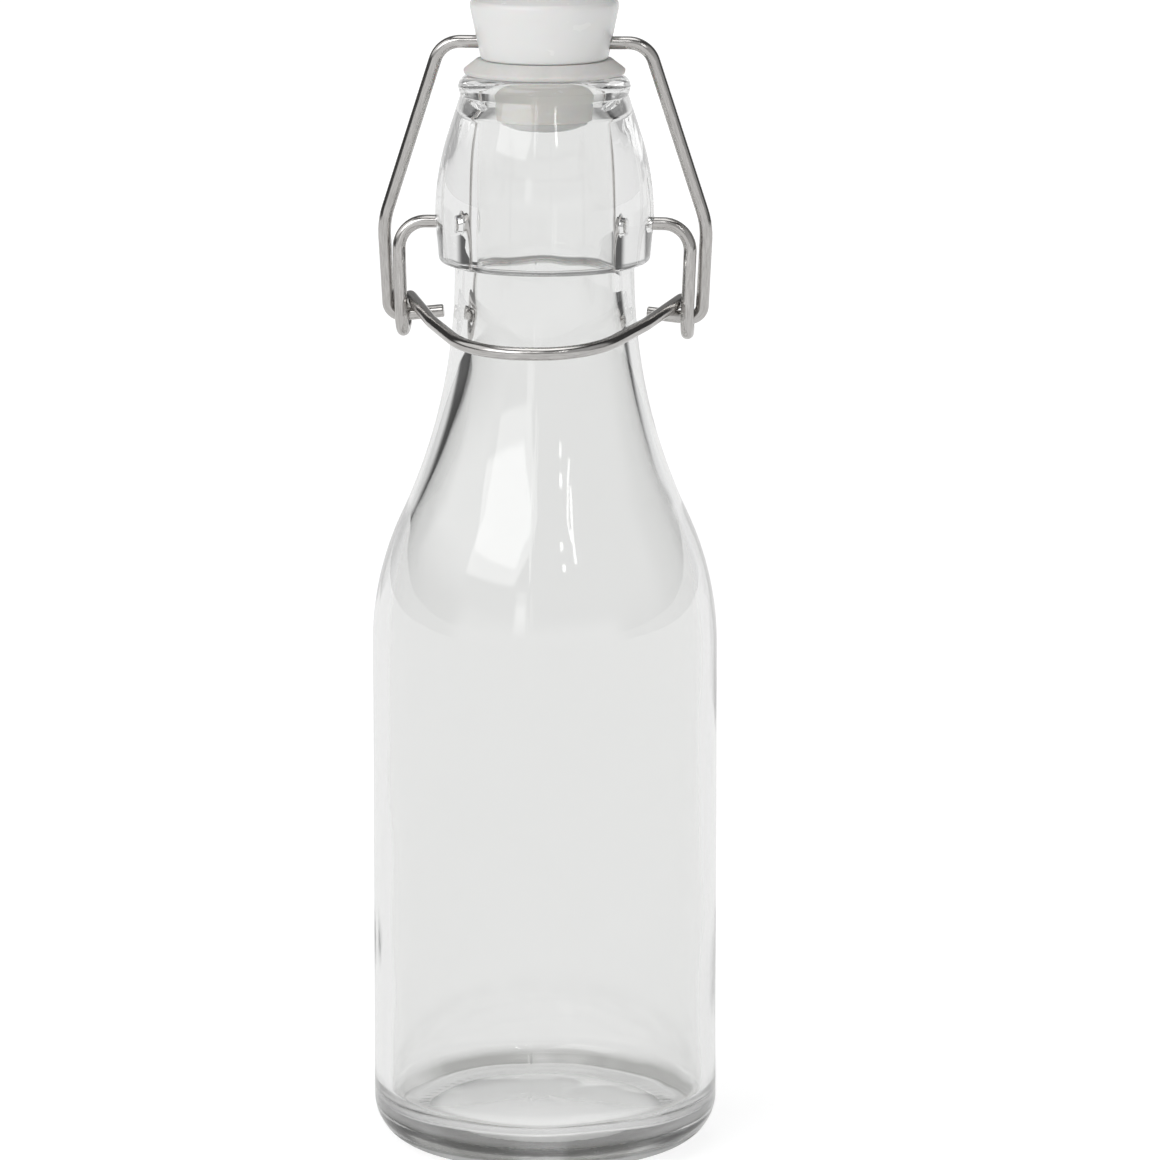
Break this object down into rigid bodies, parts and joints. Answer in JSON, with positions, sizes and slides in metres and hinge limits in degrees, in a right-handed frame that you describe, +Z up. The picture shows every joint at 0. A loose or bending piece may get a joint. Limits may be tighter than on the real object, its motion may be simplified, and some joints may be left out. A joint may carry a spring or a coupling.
{
  "type": "swing-top bottle",
  "caption": "Clear glass bottle with a long shoulder and a thick collar, closed by a plastic stopper with a soft gasket that hinged wires pull onto the mouth.",
  "frame": {"origin": "centre of the base, at the height of the resting ring", "axes": "+Z up along the bottle; -Y towards the front bail; the wires turn about axes along X"},
  "size_m": [0.06, 0.06, 0.2036],
  "materials": {
    "clear_glass": "clear, fire polished",
    "bright_wire": "drawn wire, bright plated",
    "white_plastic": "glossy moulded",
    "pale_gasket": "soft, matt, slightly translucent"
  },
  "bodies": {
    "bottle": {"glass_bottle": "clear_glass"},
    "lever": {"lever_wire": "bright_wire"},
    "yoke": {"yoke_wire": "bright_wire"},
    "stopper": {"stopper_head": "white_plastic", "stopper_gasket": "pale_gasket"}
  },
  "joints": [
    {"name": "lever_hinge", "type": "hinge", "parent": "bottle", "child": "lever", "pos_m": [0, 0, 0.162], "axis": [-1, 0, 0], "range_deg": [0, 100]},
    {"name": "yoke_hinge", "type": "hinge", "parent": "lever", "child": "yoke", "pos_m": [0, 0.00135, 0.14555], "axis": [-1, 0, 0], "range_deg": [-71, 0]},
    {"name": "stopper_hinge", "type": "hinge", "parent": "yoke", "child": "stopper", "pos_m": [0, 0, 0.1931], "axis": [-1, 0, 0], "range_deg": [-30, 0]}
  ],
  "couplings": [
    {"joint": "yoke_hinge", "follows": "lever_hinge", "ratio": -0.705},
    {"joint": "stopper_hinge", "follows": "lever_hinge", "ratio": -0.295}
  ]
}
